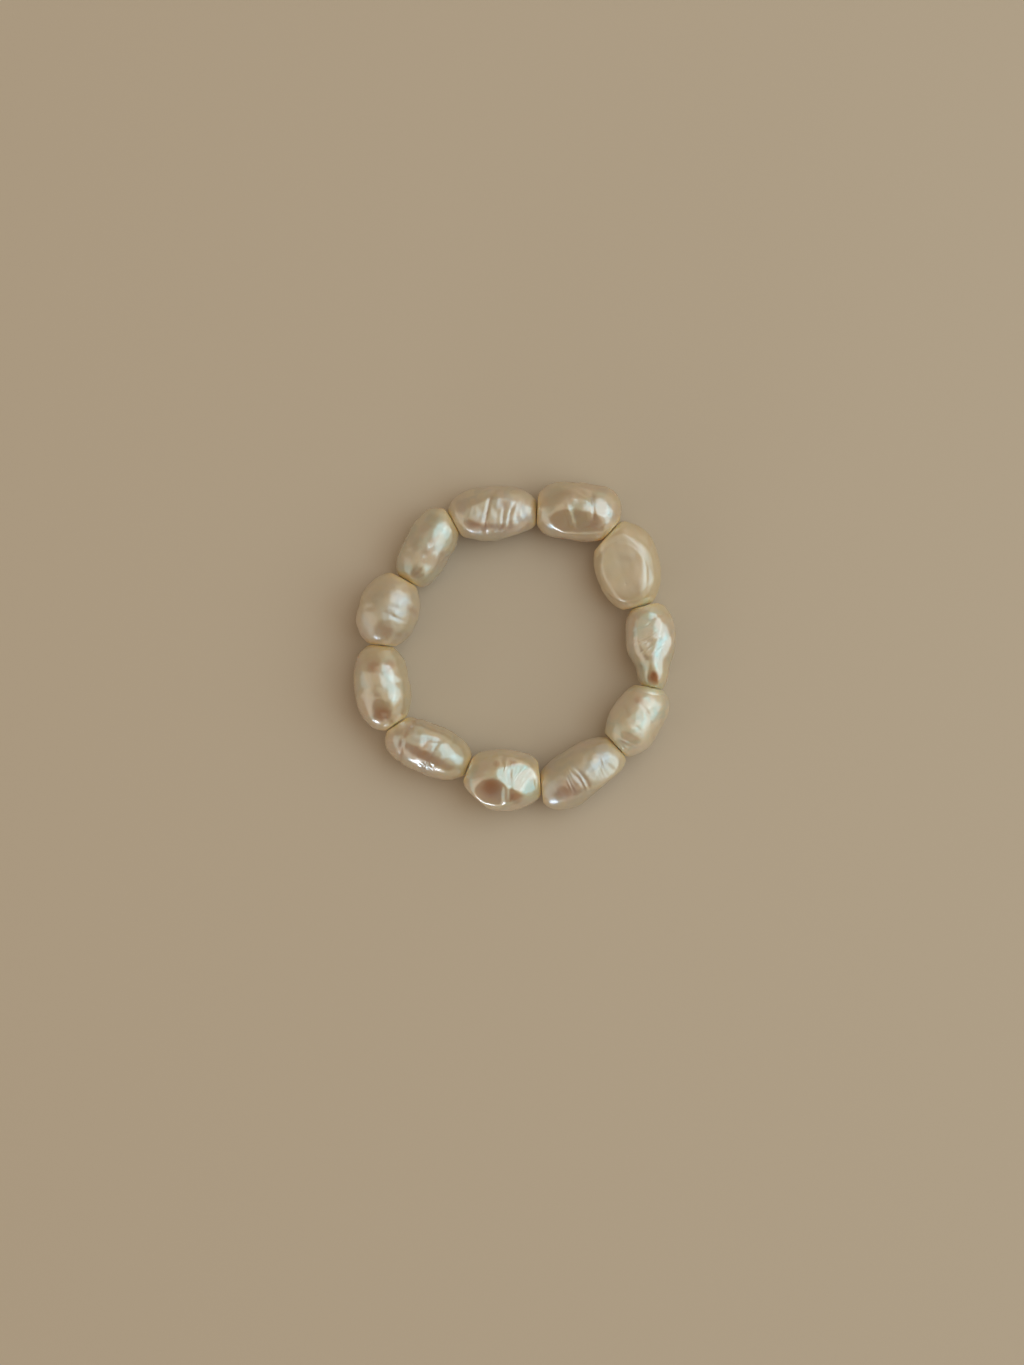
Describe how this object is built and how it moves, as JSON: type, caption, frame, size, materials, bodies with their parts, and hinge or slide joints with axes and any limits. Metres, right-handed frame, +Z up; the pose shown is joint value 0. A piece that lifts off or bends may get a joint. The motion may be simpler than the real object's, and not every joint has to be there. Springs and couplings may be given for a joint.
{
  "type": "pearl ring",
  "caption": "Finger ring of small baroque freshwater pearls threaded end to end on a closed loop of elastic cord.",
  "frame": {"origin": "middle of the ring's outline, on the surface the ring lies on", "axes": "+Z up through the finger hole, +Y towards the meeting of pearl_11 and pearl_01, +X towards pearl_03"},
  "size_m": [0.0253, 0.0258, 0.0045],
  "materials": {
    "nacre_cream": "lustrous cream nacre, lightly wrinkled",
    "nacre_silver": "lustrous silvery nacre with green and pink orient",
    "nacre_matte": "satin nacre with a flat matte face",
    "clear_elastic": "clear stretch cord"
  },
  "bodies": {
    "root": {"pearl_01": "nacre_cream", "pearl_02": "nacre_matte", "pearl_03": "nacre_cream", "pearl_04": "nacre_silver", "pearl_05": "nacre_cream", "pearl_06": "nacre_silver", "pearl_07": "nacre_cream", "pearl_08": "nacre_cream", "pearl_09": "nacre_silver", "pearl_10": "nacre_silver", "pearl_11": "nacre_cream", "elastic_cord": "clear_elastic"}
  },
  "joints": []
}
